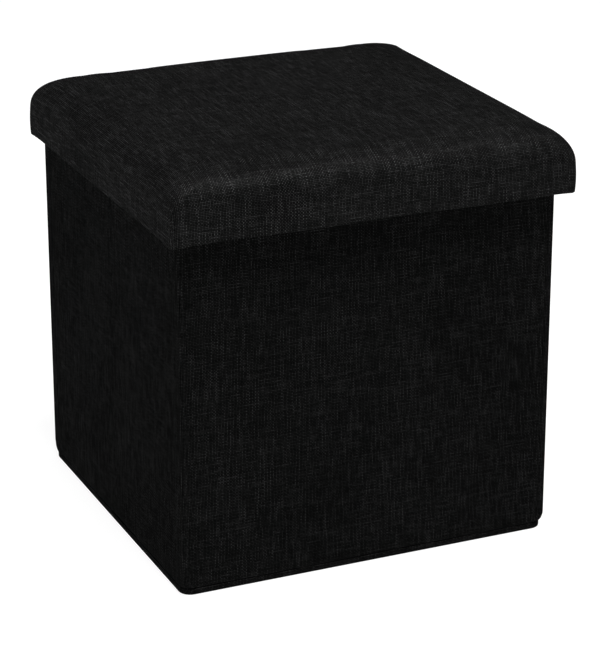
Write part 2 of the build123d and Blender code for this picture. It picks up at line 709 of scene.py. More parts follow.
@dataclass
class PanelForm:
    """Cloth pulled over a flat panel: a face with rounded corners and a rolled rim.

    The face lies on u, v with w pointing out. A negative depth turns the form into a tray.
    """

    width: float
    height: float
    rim: float
    depth: float
    corners: tuple[float, float, float, float] = (0.0, 0.0, 0.0, 0.0)  # from lower start, anticlockwise
    cell: float = 7 * MM
    closed: bool = False
    relief: Callable[[float, float], float] = lambda u, v: 0.0

    def corner_at(self, u: float, v: float) -> tuple[float, Vector] | None:
        """The rounded corner that a face point falls in.

        Args:
            u: place along the panel.
            v: place up the panel.

        Returns:
            The corner's radius and its centre, or None.
        """
        start, low = u < self.width / 2, v < self.height / 2
        index = {(True, True): 0, (False, True): 1, (False, False): 2, (True, False): 3}[(start, low)]
        radius = max(self.corners[index] - self.rim, 0.2 * self.rim)
        reach = self.rim + radius
        centre = Vector((reach if start else self.width - reach, reach if low else self.height - reach, 0))
        within_u = u < reach if start else u > self.width - reach
        within_v = v < reach if low else v > self.height - reach
        return (radius, centre) if within_u and within_v else None

    def face_point(self, u: float, v: float) -> Vector:
        """A face point, with the square corner pulled into a round one.

        Args:
            u: place along the panel.
            v: place up the panel.

        Returns:
            The point, flat on the face.
        """
        corner = self.corner_at(u, v)
        if corner is None:
            return Vector((u, v, 0))
        radius, centre = corner
        p, q = (u - centre.x) / radius, (v - centre.y) / radius
        return centre + radius * Vector((p * math.sqrt(1 - q * q / 2), q * math.sqrt(1 - p * p / 2), 0))

    def rim_normal(self, u: float, v: float) -> Vector:
        """The direction out of the outline at a point of the face's edge.

        Args:
            u: place along the panel.
            v: place up the panel.

        Returns:
            A unit vector in the plane of the face.
        """
        corner = self.corner_at(u, v)
        if corner is not None:
            return (self.face_point(u, v) - corner[1]).normalized()
        gaps = {(-1, 0): u, (1, 0): self.width - u, (0, -1): v, (0, 1): self.height - v}
        return Vector((*min(gaps, key=gaps.get), 0))

    def patch(self, place: Callable[[Vector], Vector], origin: Spot = (0.0, 0.0)) -> Patch:
        """Builds the form.

        Args:
            place: turns u, v, w into a point of the row frame.
            origin: cloth coordinates of the panel's lower start corner.

        Returns:
            The finished patch.
        """
        made = Patch()
        inner = [max(r - self.rim, 0.2 * self.rim) for r in self.corners]
        us = self.rim + stations(self.width - 2 * self.rim, self.cell, *inner)
        vs = self.rim + stations(self.height - 2 * self.rim, self.cell, *inner)

        def put(i: int, j: int) -> int:
            """Adds the face point where two grid lines cross.

            Args:
                i: number of the line across the panel.
                j: number of the line up the panel.

            Returns:
                The point's index.
            """
            point = self.face_point(us[i], vs[j])
            spot = (origin[0] + point.x, origin[1] + point.y)
            point.z = self.relief(point.x, point.y)
            return made.add(place(point), spot)

        loop, edge = made.grid(len(us), len(vs), put)
        foot = [self.face_point(us[i], vs[j]) for i, j in edge]
        normals = [self.rim_normal(us[i], vs[j]) for i, j in edge]
        turn = math.copysign(1.0, self.depth)
        steps = []  # how far out, how far down and how much cloth is used
        for angle in np.radians([22.5, 45, 67.5, 90]):
            steps.append((self.rim * math.sin(angle), self.rim * (1 - math.cos(angle)), self.rim * angle))
        straight = abs(self.depth) - self.rim
        for share in (0.34, 0.67, 1.0):
            down = straight * share
            steps.append((self.rim, self.rim + down, self.rim * math.pi / 2 + down))
        for out, down, run in steps:
            ring = []
            for base, normal in zip(foot, normals):
                point, spread = base + normal * out, base + normal * run
                point.z = -turn * down
                ring.append(made.add(place(point), (origin[0] + spread.x, origin[1] + spread.y)))
            made.bridge(loop, ring)
            loop = ring
        if self.closed:
            made.faces.append(tuple(reversed(loop)))
        return made


def ribbon(sections: list[list[Vector]], cloth: list[list[Spot]]) -> Patch:
    """A closed strip through equal closed sections, with both ends capped.

    Args:
        sections: one closed loop of points for each station.
        cloth: the cloth coordinates of the same points.

    Returns:
        The patch, whose faces are turned outwards when it is built.
    """
    made = Patch()
    loops = [[made.add(p, c) for p, c in zip(*pair)] for pair in zip(sections, cloth)]
    for first, second in zip(loops, loops[1:]):
        made.bridge(first, second)
    made.faces += [tuple(loops[0]), tuple(reversed(loops[-1]))]
    return made


# ---------------------------------------------------------------- sewing


def stitch_tree() -> bpy.types.NodeTree:
    """Geometry Nodes that lay stitches along drawn seam lines.

    Returns:
        The node tree. It takes seam lines as bare edges and gives the stitches as mesh.
    """
    mesh = "NodeSocketGeometry"
    inputs = {"Seam lines": mesh, "Pitch": FLOAT, "Length": FLOAT, "Thread radius": FLOAT}
    inputs["Thread"] = "NodeSocketMaterial"
    tree, n, given, made = new_group("seam_stitches", inputs, {"Stitches": mesh}, "GeometryNodeTree")
    lines, pitch, length, radius, thread = (given.outputs[name] for name in inputs)
    curve = n.add("GeometryNodeMeshToCurve", {"Mesh": lines})
    even = n.add("GeometryNodeResampleCurve", {"Curve": curve.outputs[0], "Length": pitch}, mode="LENGTH")
    bead = n.add("GeometryNodeMeshUVSphere", {"Segments": 7, "Rings": 6, "Radius": 1.0})
    size = n.join(n.math("MULTIPLY", length, 0.5), radius, radius)
    shaped = n.add("GeometryNodeTransform", {"Geometry": bead.outputs["Mesh"], "Scale": size})
    tangent = n.add("GeometryNodeInputTangent").outputs[0]
    turn = n.add("FunctionNodeAlignRotationToVector", {"Vector": tangent}, axis="X")
    laid = n.add("GeometryNodeInstanceOnPoints", {"Points": even.outputs[0], "Instance": shaped.outputs[0]})
    n.feed(laid.inputs["Rotation"], turn.outputs[0])
    real = n.add("GeometryNodeRealizeInstances", {0: laid.outputs[0]})
    dressed = n.add("GeometryNodeSetMaterial", {"Geometry": real.outputs[0], "Material": thread})
    n.feed(made.inputs[0], dressed.outputs[0])
    return tree


@dataclass
class Seamstress:
    """Lays topstitching along seam lines."""

    pitch: float = 4.2 * MM
    length: float = 3.3 * MM
    radius: float = 0.32 * MM

    def sew(self, name: str, body: str, lines: list[list[Vector]]) -> bpy.types.Object:
        """Sews one body's seam lines.

        Args:
            name: the piece's name.
            body: the CAD body that it rides on.
            lines: points along each seam.

        Returns:
            The stitches as one plain mesh.
        """
        points = [tuple(p) for line in lines for p in line]
        edges, start = [], 0
        for line in lines:
            edges += [(start + i, start + i + 1) for i in range(len(line) - 1)]
            start += len(line)
        mesh = bpy.data.meshes.new(name)
        mesh.from_pydata(points, edges, [])
        piece = new_object(name, mesh)
        tree = bpy.data.node_groups.get("seam_stitches") or stitch_tree()
        rule = piece.modifiers.new("stitches", "NODES")
        rule.node_group = tree
        values = {"Pitch": self.pitch, "Length": self.length, "Thread radius": self.radius}
        values["Thread"] = THREAD.material()
        for item in tree.interface.items_tree:
            if item.item_type == "SOCKET" and item.in_out == "INPUT" and item.name in values:
                rule[item.identifier] = values[item.name]
        flatten(piece)
        piece.data.shade_smooth()
        return settle(piece, body)


# ---------------------------------------------------------------- sub-assemblies


@dataclass
class Panel:
    """One cloth-covered panel of the box: skin, lining, rim tape and board."""

    name: str
    side: Side
    body: str
    rounded: tuple[bool, bool]  # the lower corner at the panel's start and at its end
    corner: float = 9 * MM
    skin_thickness: float = 1.0 * MM
    skin_rim: float = 0.9 * MM
    lining_rim: float = 0.25 * MM
    lining_sink: float = 0.06 * MM  # lets the tape lie over the lining
    tape_leg: float = 9 * MM
    tape_lap: float = 0.8 * MM  # over the edges of skin and lining
    tape_thickness: float = 0.9 * MM
    tape_bend: float = 1.3 * MM
    tape_flap: float = 0.9 * MM  # the ends are folded shut over the board

    def __post_init__(self) -> None:
        """Reads the panel's place from its CAD nodes."""
        low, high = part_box(f"{self.name}_cover")
        lining_low, lining_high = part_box(f"{self.name}_lining")
        tape_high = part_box(f"{self.name}_rim_tape")[1]
        along, outward = self.side.along, self.side.outward
        ends = sorted((along.dot(low), along.dot(high)))
        self.start, self.length = ends[0], ends[1] - ends[0]
        self.face = max(outward.dot(low), outward.dot(high))
        self.inner = min(outward.dot(lining_low), outward.dot(lining_high))
        self.bottom, self.top = low.z, tape_high.z
        self.lining_depth = (lining_high - lining_low).dot(Vector(map(abs, outward)))

    @property
    def height(self) -> float:
        """The panel's height with its tape."""
        return self.top - self.bottom

    @property
    def wall(self) -> float:
        """Thickness of the whole panel."""
        return self.face - self.inner

    def place(self, point: Vector) -> Vector:
        """Turns panel coordinates into the row frame.

        Args:
            point: u along the panel, v above its lower edge and w out of its face.

        Returns:
            The point in the row frame.
        """
        along = self.side.along * (self.start + point.x)
        return along + UP * (self.bottom + point.y) + self.side.outward * (self.face + point.z)

    def place_inside(self, point: Vector) -> Vector:
        """Turns the lining's coordinates into the row frame.

        Args:
            point: as for place, but on the lining, whose face looks into the box.

        Returns:
            The point in the row frame.
        """
        depth = self.inner + self.lining_sink - self.face - point.z
        return self.place(Vector((self.length - point.x, point.y, depth)))

    def relief(self, u: float, v: float) -> float:
        """Slight unevenness of cloth pulled over board.

        Args:
            u: place along the panel.
            v: place up the panel.

        Returns:
            How far the cloth stands out there.
        """
        edge = min(u, self.length - u, v, self.height - v)
        hold = min(1.0, max(0.0, edge / (30 * MM)))
        wave = math.sin(u * 31.0 + v * 7.0) + 0.7 * math.sin(v * 43.0 - u * 11.0 + 1.3)
        return -0.12 * MM + hold * 0.12 * MM * wave

    def form(self, rounded: tuple[bool, ...], rim: float, depth: float, **more) -> PanelForm:
        """The shape of a cloth over the panel, below its tape.

        Args:
            rounded: which of its lower corners are round, from its own start.
            rim: radius of its rolled edge.
            depth: how far its edges turn back.
            more: other settings of the form.

        Returns:
            The form.
        """
        radii = [self.corner if flag else 0.0 for flag in rounded]
        return PanelForm(self.length, self.height - self.tape_leg, rim, depth, (*radii, 0.0, 0.0), **more)

    def skin(self) -> None:
        """The outer cloth over the panel's board."""
        low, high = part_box(f"{self.name}_board")
        outward = self.side.outward
        depth = self.face - min(outward.dot(low), outward.dot(high))
        form = self.form(self.rounded, self.skin_rim, depth, relief=self.relief)
        patch = form.patch(self.place, (self.start, self.bottom))
        piece = patch.build(f"{self.name}_skin", OUTER_CLOTH)
        thicken(piece, self.skin_thickness)
        settle(piece, self.body, f"{self.name}_cover")

    def lining(self) -> None:
        """The thin cloth on the panel's inner face."""
        depth = self.lining_depth - self.lining_sink
        form = self.form(self.rounded[::-1], self.lining_rim, depth, cell=12 * MM, closed=True)
        piece = form.patch(self.place_inside).build(f"{self.name}_lining_cloth", LINING)
        settle(piece, self.body, f"{self.name}_lining")

    def tape(self) -> None:
        """Binding folded over the upper edge, flush with both faces."""
        thick, bend, wall, flap = self.tape_thickness, self.tape_bend, self.wall, self.tape_flap
        leg = self.tape_leg + self.tape_lap
        outer = [(0.0, -leg), (0.0, -0.66 * leg), (0.0, -0.33 * leg)]
        for centre, angles in ((-bend, (0, 30, 60, 90)), (-wall + bend, (90, 120, 150, 180))):
            for angle in np.radians(angles):
                outer.append((centre + bend * math.cos(angle), -bend + bend * math.sin(angle)))
        outer += [(-wall, -0.33 * leg), (-wall, -0.66 * leg), (-wall, -leg)]
        inside = flap + 0.06 * MM
        middle = np.linspace(inside, self.length - inside, max(3, round(self.length / (8 * MM))))
        stops = [(0.0, leg), (flap, leg), *((float(u), thick) for u in middle)]
        stops += [(self.length - flap, leg), (self.length, leg)]
        sections, cloth = [], []
        for u, hollow in stops:
            ceiling = 0.01 * MM - hollow if hollow == leg else -hollow
            lower = [(-wall + thick, -leg), (-wall + thick, ceiling), (-thick, ceiling), (-thick, -leg)]
            loop = outer + lower
            sections.append([self.place(Vector((u, self.height + v, w))) for w, v in loop])
            cloth.append([(u, v if w > -wall / 2 else 2 * leg + wall - v) for w, v in loop])
        piece = ribbon(sections, cloth).build(f"{self.name}_binding", TAPE, recalculate=True)
        settle(piece, self.body, f"{self.name}_rim_tape")

    def tape_seams(self) -> list[list[Vector]]:
        """Seam lines of the binding on both faces.

        Returns:
            The rows, which stop short of the places where folded panels press together.
        """
        level = self.height - self.tape_leg + 2 * MM
        near, far = 3 * MM, 26 * MM
        start, end = (near if corner else far for corner in self.rounded)
        rows = []
        for first, last, w in ((start, end, 0.02 * MM), (far, far, -self.wall + 0.12 * MM)):
            along = np.linspace(first, self.length - last, 12)
            rows.append([self.place(Vector((float(u), level, w))) for u in along])
        return rows

    def make(self) -> None:
        """Builds and dresses every piece of the panel."""
        self.skin()
        self.lining()
        self.tape()
        BOARD.dress(f"{self.name}_board")


@dataclass
class CornerSleeve:
    """Cloth that wraps an upright corner and hinges a side half to a whole wall.

    In plan, a runs along the whole wall from the corner and b along the side half.
    """

    name: str
    wall: Panel
    half: Panel
    cut: SleeveCut = SleeveCut.WHOLE
    proud: float = 0.42 * MM
    thickness: float = 0.8 * MM
    roll: float = 3.2 * MM
    wall_lap: float = 5.4 * MM
    half_lap: float = 12.4 * MM
    tuck: float = 1.0 * MM  # over which the edges sink into the skins
    sunk: float = 0.35 * MM

    def place(self, a: float, b: float, z: float) -> Vector:
        """Turns plan distances from the corner into the row frame.

        Args:
            a: distance along the whole wall.
            b: distance along the side half.
            z: height.

        Returns:
            The point in the row frame.
        """
        corner = self.wall.side.outward * self.wall.face + self.half.side.outward * self.half.face
        return corner - self.half.side.outward * a - self.wall.side.outward * b + UP * z

    def recess(self, z: float) -> float:
        """How far the panels' rounded lower corner falls back.

        Args:
            z: height.

        Returns:
            The distance there.
        """
        radius = self.wall.corner
        up = min(radius, max(0.0, z - self.wall.bottom))
        return radius - math.sqrt(max(0.0, radius**2 - (radius - up) ** 2))

    def path(self, z: float, proud: float) -> list[Spot]:
        """The sleeve's line in plan.

        Args:
            z: height.
            proud: how far outside the walls the line lies.

        Returns:
            Its points from the whole wall to the side half, as a and b.
        """
        back, tuck = self.recess(z), self.tuck
        roll = self.roll + back
        wall_end, half_end = self.wall_lap + back, self.half_lap + back
        line = [(wall_end + tuck, self.sunk - proud * 0.3)]
        line += [(wall_end + 0.3 * tuck, -0.45 * proud), (wall_end - 0.6 * tuck, -proud)]
        for angle in np.radians(np.linspace(270, 180, 9)):
            line.append((roll + (roll + proud) * math.cos(angle), roll + (roll + proud) * math.sin(angle)))
        seam = self.wall.wall + back
        steps = np.linspace(max(roll, seam - 1.2 * MM), half_end - 1.6 * tuck, 9)
        line += [(-proud, float(b)) for b in steps]
        line += [(-proud, half_end - 0.6 * tuck), (-0.45 * proud, half_end + 0.3 * tuck)]
        line += [(self.sunk - proud * 0.3, half_end + tuck)]
        if self.cut is SleeveCut.WALL:
            kept = [p for p in line if p[1] < seam - 0.1 * MM]
            return kept + [(kept[-1][0], seam - 0.1 * MM)]
        if self.cut is SleeveCut.HALF:
            start = seam + 0.5 * MM
            return [(-proud, start)] + [p for p in line if p[1] > start + 0.3 * MM and p[0] < 0.4 * MM]
        return line

    def build(self) -> None:
        """Builds the sleeve and hangs it on its body; a whole sleeve is left fixed in the row frame."""
        low = self.wall.bottom + 0.3 * MM
        knee = low + self.wall.corner
        high = self.wall.top - self.wall.tape_leg + 0.1 * MM
        heights = np.unique(np.concatenate([np.linspace(low, knee, 9), np.linspace(knee, high, 46)]))
        # The recess can drop a point from a cut sleeve's line, so all are cut to the shortest.
        count = min(len(self.path(z, self.proud)) for z in heights)
        sections, cloth = [], []
        for z in heights:
            outer = self.path(z, self.proud)[:count]
            inner = self.path(z, self.proud - self.thickness)[:count]
            runs = [0.0]
            for p, q in zip(outer, outer[1:]):
                runs.append(runs[-1] + math.dist(p, q))
            sections.append([self.place(a, b, z) for a, b in outer + inner[::-1]])
            cloth.append([(run, z) for run in runs + runs[::-1]])
        piece = ribbon(sections, cloth).build(self.name, OUTER_CLOTH, recalculate=True)
        if self.cut is SleeveCut.WHOLE:
            start, end = (self.place(0, self.wall.wall + offset, 0) for offset in (-0.8 * MM, 2.2 * MM))
            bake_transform(piece)
            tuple(start)
            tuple(end)
        else:
            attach(piece, self.wall.body if self.cut is SleeveCut.WALL else self.half.body)
        LOG.info("made %s", piece.name)

    def seams(self) -> dict[str, list[list[Vector]]]:
        """Topstitch lines beside the corner.

        Returns:
            The lines of each body.
        """
        low, high = self.wall.bottom, self.wall.top - self.wall.tape_leg - 2 * MM
        heights = np.linspace(low + 2 * MM, high, 40)
        inset, over = 1.4 * MM, -self.proud - 0.05 * MM
        on_wall = [self.place(self.wall_lap - inset + self.recess(z), over, z) for z in heights]
        on_half = [self.place(over, self.half_lap - inset + self.recess(z), z) for z in heights]
        return {self.wall.body: [on_wall], self.half.body: [on_half]}


@dataclass
class CreaseStrip:
    """The cloth hinge at the centre of a folding side wall."""

    name: str
    rear: Panel
    front: Panel
    half_width: float = 1.7 * MM
    shallow: float = 0.45 * MM  # below the skins' faces
    deep: float = 0.95 * MM

    def build(self) -> None:
        """Builds the strip in the valley between the two skins."""
        outward = self.rear.side.outward
        out, back = self.rear.face - self.shallow, self.rear.face - self.deep
        ys = np.linspace(-self.half_width, self.half_width, 9)
        sections, cloth = [], []
        for z in np.linspace(self.rear.bottom + 0.4 * MM, self.rear.top - self.rear.tape_leg, 40):
            loop = [(out, y) for y in ys] + [(back, y) for y in reversed(ys)]
            sections.append([outward * level + Vector((0, y, z)) for level, y in loop])
            cloth.append([(y, z) for _, y in loop])
        piece = ribbon(sections, cloth).build(self.name, OUTER_CLOTH, recalculate=True)
        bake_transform(piece)
        LOG.info("made %s", piece.name)


@dataclass
class BaseAssembly:
    """The bottom board in its cloth wrap, with the floor lining over it."""

    body: str = "base"
    corner: float = 11 * MM
    inset: float = 1.0 * MM  # of the floor lining
    cell: float = 12 * MM

    def make(self) -> None:
        """Builds the wrap and the floor lining, and dresses the board."""
        low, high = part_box("base_cover")
        floor_low, floor_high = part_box("base_lining")
        size, centre, inset = high - low, (low + high) / 2, self.inset

        def place_under(point: Vector) -> Vector:
            """The wrap's face looks down, so u runs along -X there."""
            return Vector((centre.x + size.x / 2 - point.x, low.y + point.y, low.z - point.z))

        def place_floor(point: Vector) -> Vector:
            """The floor lining looks up into the box."""
            return Vector((low.x + inset + point.x, low.y + inset + point.y, floor_high.z + point.z))

        rise = floor_high.z - low.z - 0.05 * MM
        wrap_form = PanelForm(size.x, size.y, 1.3 * MM, rise, (self.corner,) * 4, cell=self.cell)
        wrap = wrap_form.patch(place_under).build("base_wrap", OUTER_CLOTH)
        thicken(wrap, 0.9 * MM)
        settle(wrap, self.body, "base_cover")
        width, length, depth = size.x - 2 * inset, size.y - 2 * inset, floor_high.z - floor_low.z
        corners = (self.corner - inset,) * 4
        floor_form = PanelForm(width, length, 0.3 * MM, depth, corners, cell=self.cell, closed=True)
        floor = floor_form.patch(place_floor).build("base_floor_cloth", LINING)
        settle(floor, self.body, "base_lining")
        BOARD.dress("base_board")


@dataclass(frozen=True)
class EdgeSpot:
    """Where a point lies on the lid's outline: on a straight side or in a rounded corner."""

    sign_x: float
    sign_y: float
    share_x: float = 0.0
    share_y: float = 0.0
    angle: float | None = None

    @property
    def bearing(self) -> float:
        """Angle from the sides' direction, up to a right angle at the front and back."""
        if self.angle is not None:
            return self.angle
        return 0.0 if self.sign_x and not self.sign_y else math.pi / 2


@dataclass
class LidForm:
    """The soft block of the lid as rings round a domed top."""

    low: Vector
    high: Vector
    inset: float = 0.0
    shoulder_run: float = 44 * MM
    shoulder_rise: float = 37 * MM
    fullness: float = 0.88  # 1 gives an elliptical shoulder, less a squarer one
    corner: float = 7.5 * MM
    corner_growth: float = 1.15
    top_drop: float = 7.2 * MM  # the flat cloth starts lower than the filled cushion
    cell: float = 6.5 * MM
    patch: Patch = field(default_factory=Patch)

    def plan(self, d: float) -> tuple[Vector, float, float, float]:
        """Sizes of the outline.

        Args:
            d: how far inside the lid's outer face it lies.

        Returns:
            Its centre, half its width, half its depth and the radius of its corners.
        """
        half_x = (self.high.x - self.low.x) / 2 - self.inset - d
        half_y = (self.high.y - self.low.y) / 2 - self.inset - d
        return (self.low + self.high) / 2, half_x, half_y, self.corner + self.corner_growth * d

    def outline(self, spot: EdgeSpot, d: float) -> Vector:
        """A point of the outline.

        Args:
            spot: where it lies.
            d: the outline's inset.

        Returns:
            The point in plan.
        """
        centre, half_x, half_y, radius = self.plan(d)
        sx, sy = spot.sign_x, spot.sign_y
        if spot.angle is None:
            x = sx * half_x if sx and not sy else spot.share_x * (half_x - radius)
            y = sy * half_y if sy and not sx else spot.share_y * (half_y - radius)
        else:
            x = sx * (half_x - radius + radius * math.cos(spot.angle))
            y = sy * (half_y - radius + radius * math.sin(spot.angle))
        return Vector((centre.x + x, centre.y + y, 0))

    def top(self) -> tuple[list[int], list[EdgeSpot]]:
        """Builds the top face.

        Returns:
            The indices of its edge loop, and where each lies on the outline.
        """
        centre, half_x, half_y, radius = self.plan(self.shoulder_run)
        z = self.high.z - self.inset - self.top_drop

        def lines(half: float) -> np.ndarray:
            """Grid lines across the top, six in each rounded corner.

            Args:
                half: half the top's size that way.

            Returns:
                Rising distances from the top's centre.
            """
            straight = half - radius
            middle = np.linspace(-straight, straight, round(2 * straight / self.cell) + 1)
            ends = np.linspace(straight, half, 7)[1:]
            return np.concatenate([-ends[::-1], middle, ends])

        xs, ys = lines(half_x), lines(half_y)

        def corner(i: int, j: int) -> tuple[float, float, float, float]:
            """How far past the corner's centre a grid point is, as shares of the radius.

            Args:
                i: number of the line that runs along Y.
                j: number of the line that runs along X.

            Returns:
                The shares along X and Y on the square grid, and then on the rounded corner.
            """
            p, q = (abs(xs[i]) - (half_x - radius)) / radius, (abs(ys[j]) - (half_y - radius)) / radius
            if p <= 0 or q <= 0:
                return p, q, p, q
            return p, q, p * math.sqrt(1 - q**2 / 2), q * math.sqrt(1 - p**2 / 2)

        def put(i: int, j: int) -> int:
            """Adds the point where two grid lines cross.

            Args:
                i: number of the line that runs along Y.
                j: number of the line that runs along X.

            Returns:
                The point's index.
            """
            x, y = xs[i], ys[j]
            p, q, round_p, round_q = corner(i, j)
            if p > 0 and q > 0:
                x = math.copysign(half_x - radius + radius * round_p, x)
                y = math.copysign(half_y - radius + radius * round_q, y)
            return self.patch.add(Vector((centre.x + x, centre.y + y, z)), (x, y))

        loop, edge = self.patch.grid(len(xs), len(ys), put)
        spots, least = [], 1e-6
        for i, j in edge:
            x, y = xs[i], ys[j]
            p, q, round_p, round_q = corner(i, j)
            sign_x, sign_y = math.copysign(1, x), math.copysign(1, y)
            if p > least and q > least:
                spots.append(EdgeSpot(sign_x, sign_y, angle=math.atan2(round_q, round_p)))
            elif i in (0, len(xs) - 1):
                spots.append(EdgeSpot(sign_x, 0, share_y=y / (half_y - radius)))
            else:
                spots.append(EdgeSpot(0, sign_y, share_x=x / (half_x - radius)))
        return loop, spots

    def ring(
        self, loop: list[int], spots: list[EdgeSpot], d: float, level: Callable[[Vector], float], run: float
    ) -> list[int]:
        """Adds one ring and joins it to the one above.

        Its points carry two cloth maps, one rolled over the front and back edges and one over
        the sides, which meet at the seams of the corners.

        Args:
            loop: the ring above.
            spots: where the points lie on the outline.
            d: the ring's inset.
            level: height of each point, from its place in plan.
            run: length of cloth from the top's edge down to the ring.

        Returns:
            The indices of the ring's points.
        """
        made = []
        centre = (self.low + self.high) / 2
        stretch = run - self.shoulder_run + d
        for spot in spots:
            point = self.outline(spot, d)
            point.z = level(point)
            x, y = point.x - centre.x, point.y - centre.y
            index = self.patch.add(point, (x, y + math.copysign(stretch, y)))
            self.patch.side_cloth[index] = (x + math.copysign(stretch, x), y)
            made.append(index)
        first = len(self.patch.faces)
        self.patch.bridge(loop, made)
        for i, (spot, other) in enumerate(zip(spots, spots[1:] + spots[:1])):
            if spot.bearing + other.bearing < math.pi / 2 - 1e-6:
                self.patch.side_faces.add(first + i)
        return made

    def shoulder(self, loop: list[int], spots: list[EdgeSpot], lowest: float) -> tuple[list[int], float]:
        """Adds the rounded shoulder.

        Args:
            loop: the top's edge.
            spots: where its points lie on the outline.
            lowest: height at which the rings stop.

        Returns:
            The last ring and the cloth used to reach it.
        """
        foot = self.high.z - self.inset - self.shoulder_rise
        run, before = 0.0, (self.shoulder_run, foot + self.shoulder_rise)
        for angle in np.radians(np.linspace(90, 0, 17))[1:]:
            d = self.shoulder_run * (1 - math.cos(angle) ** self.fullness)
            z = foot + self.shoulder_rise * math.sin(angle) ** self.fullness
            z -= self.top_drop * (math.sin(angle) ** 6)
            if z < lowest:
                break
            run += math.dist(before, (d, z))
            before = (d, z)
            loop = self.ring(loop, spots, d, lambda _, z=z: z, run)
        return loop, run


@dataclass
class LidAssembly:
    """Padded lift-off lid: cover, foam, boards, lining and staples."""

    body: str = "lid"
    droop: float = 2.4 * MM  # how far the skirt's corners hang below its sides
    puff: float = 4.0 * MM  # furthest that the filled cover may move
    glue_fade: float = 22 * MM  # above the skirt, over which the cover comes free
    foam_inset: float = 2.2 * MM

    def __post_init__(self) -> None:
        """Reads the lid's place from its CAD nodes."""
        self.low, self.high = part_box("lid_cover")

    def hang(self, point: Vector) -> float:
        """Unevenness of the skirt's edge.

        Args:
            point: a place in plan.

        Returns:
            How far the edge is from level there.
        """
        x, y = point.x, point.y
        reach_x, reach_y = min(x - self.low.x, self.high.x - x), min(y - self.low.y, self.high.y - y)
        corner = math.exp(-max(0.0, reach_x + reach_y) / (11 * MM))
        wave = math.sin(x * 38.0 + 0.6) * math.cos(y * 33.0) + 0.5 * math.sin((x - y) * 90.0)
        return -self.droop * corner + 0.45 * MM * wave * (1 - corner)

    def cover(self) -> None:
        """The outer cloth of the lid, from its top to the turned-in hem of its skirt."""
        form = LidForm(self.low, self.high)
        loop, spots = form.top()
        loop, run = form.shoulder(loop, spots, 0.0)
        foot = self.high.z - form.shoulder_rise
        drop = foot - self.low.z
        free = len(form.patch.points)
        for share in (0.14, 0.28, 0.42, 0.56, 0.7, 0.82, 0.92, 0.975):
            bulge = -0.35 * MM * math.sin(math.pi * share)
            loop = form.ring(
                loop,
                spots,
                bulge,
                lambda p, share=share: foot - drop * share + self.hang(p) * share**2,
                run + drop * share,
            )
        hem = ((0.5, 0.25), (1.4, 0.0), (3.4, 0.0), (5.0, 0.1), (5.65, 0.7), (5.75, 2.0), (5.75, 6.5))
        for inset, rise in hem:  # millimetres inwards and upwards
            loop = form.ring(
                loop,
                spots,
                inset * MM,
                lambda p, rise=rise: self.low.z + rise * MM + self.hang(p),
                run + drop + inset * MM,
            )
        piece = form.patch.build("lid_cover_cloth", LID_CLOTH)
        self.fill_out(piece, free)
        settle(piece, self.body, "lid_cover")

    def fill_out(self, piece: bpy.types.Object, free: int) -> None:
        """Lets the foam fill the cover by cloth simulation, within the allowed movement.

        Args:
            piece: the cover.
            free: index of the first point of the skirt, which is glued to its boards.
        """
        mesh = piece.data
        rest = np.array([v.co for v in mesh.vertices])
        foot = rest[free - 1, 2]
        held = piece.vertex_groups.new(name="glued")
        for index, point in enumerate(rest):
            share = 1.0 if index >= free else max(0.0, 1.0 - (point[2] - foot) / self.glue_fade) ** 2
            held.add([index], max(share, 0.02), "REPLACE")
        moved = self.simulate(piece)
        normals = np.array([v.normal for v in mesh.vertices])
        rise = np.einsum("ij,ij->i", moved - rest, normals)
        slide = (moved - rest) - rise[:, None] * normals
        rise = np.where(rise > 0, self.puff * np.tanh(rise / self.puff), 0.1 * rise)  # foam stops it sinking
        final = rest + 0.3 * slide + rise[:, None] * normals
        final[free:] = rest[free:]
        for vertex, point in zip(mesh.vertices, final):
            vertex.co = point
        LOG.info("lid cover filled out by %.1f mm", 1000 * float(np.abs(final - rest).max()))
        smooth = piece.modifiers.new("soften", "SUBSURF")
        smooth.levels = smooth.render_levels = 1

    def simulate(self, piece: bpy.types.Object) -> np.ndarray:
        """Runs the cloth simulation.

        Args:
            piece: the cover, with its glued points in a vertex group.

        Returns:
            Where its points end up.
        """
        cloth = piece.modifiers.new("filling", "CLOTH")
        tuning = {
            "quality": 6,
            "mass": 0.25,
            "tension_stiffness": 22,
            "compression_stiffness": 22,
            "shear_stiffness": 12,
            "bending_stiffness": 2.5,
            "use_pressure": True,
            "uniform_pressure_force": 4.0,
            "vertex_group_mass": "glued",
            "pin_stiffness": 2.0,
        }
        for name, value in tuning.items():
            setattr(cloth.settings, name, value)
        cloth.settings.effector_weights.gravity = 0.0
        scene = bpy.context.scene
        for step in range(1, 21):
            scene.frame_set(step)
        seen = piece.evaluated_get(bpy.context.evaluated_depsgraph_get())
        moved = np.array([v.co for v in seen.data.vertices])
        piece.modifiers.clear()
        scene.frame_set(1)
        return moved

    def foam(self) -> None:
        """The foam block inside the cover."""
        board_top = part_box("lid_board")[1].z
        form = LidForm(self.low, self.high, inset=self.foam_inset, top_drop=7.4 * MM, cell=12 * MM)
        loop, spots = form.top()
        loop, run = form.shoulder(loop, spots, board_top + 1 * MM)
        base = form.ring(loop, spots, 0.8 * MM, lambda _: board_top + 0.1 * MM, run + 5 * MM)
        form.patch.faces.append(tuple(reversed(base)))
        piece = settle(form.patch.build("lid_foam_block", FOAM), self.body, "lid_foam")

    def lining(self) -> None:
        """The lining under the top board and behind the skirt."""
        low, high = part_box("lid_lining")
        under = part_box("lid_board")[0].z - 0.75 * MM
        drop = under - low.z - 1.2 * MM
        gap, inset = 0.1 * MM, 0.7 * MM
        width, depth = (high - low).x - 2 * gap, (high - low).y - 2 * gap

        def place(point: Vector) -> Vector:
            """The face looks down into the hollow, so u runs along -X."""
            return Vector((high.x - gap - inset - point.x, low.y + gap + inset + point.y, under - point.z))

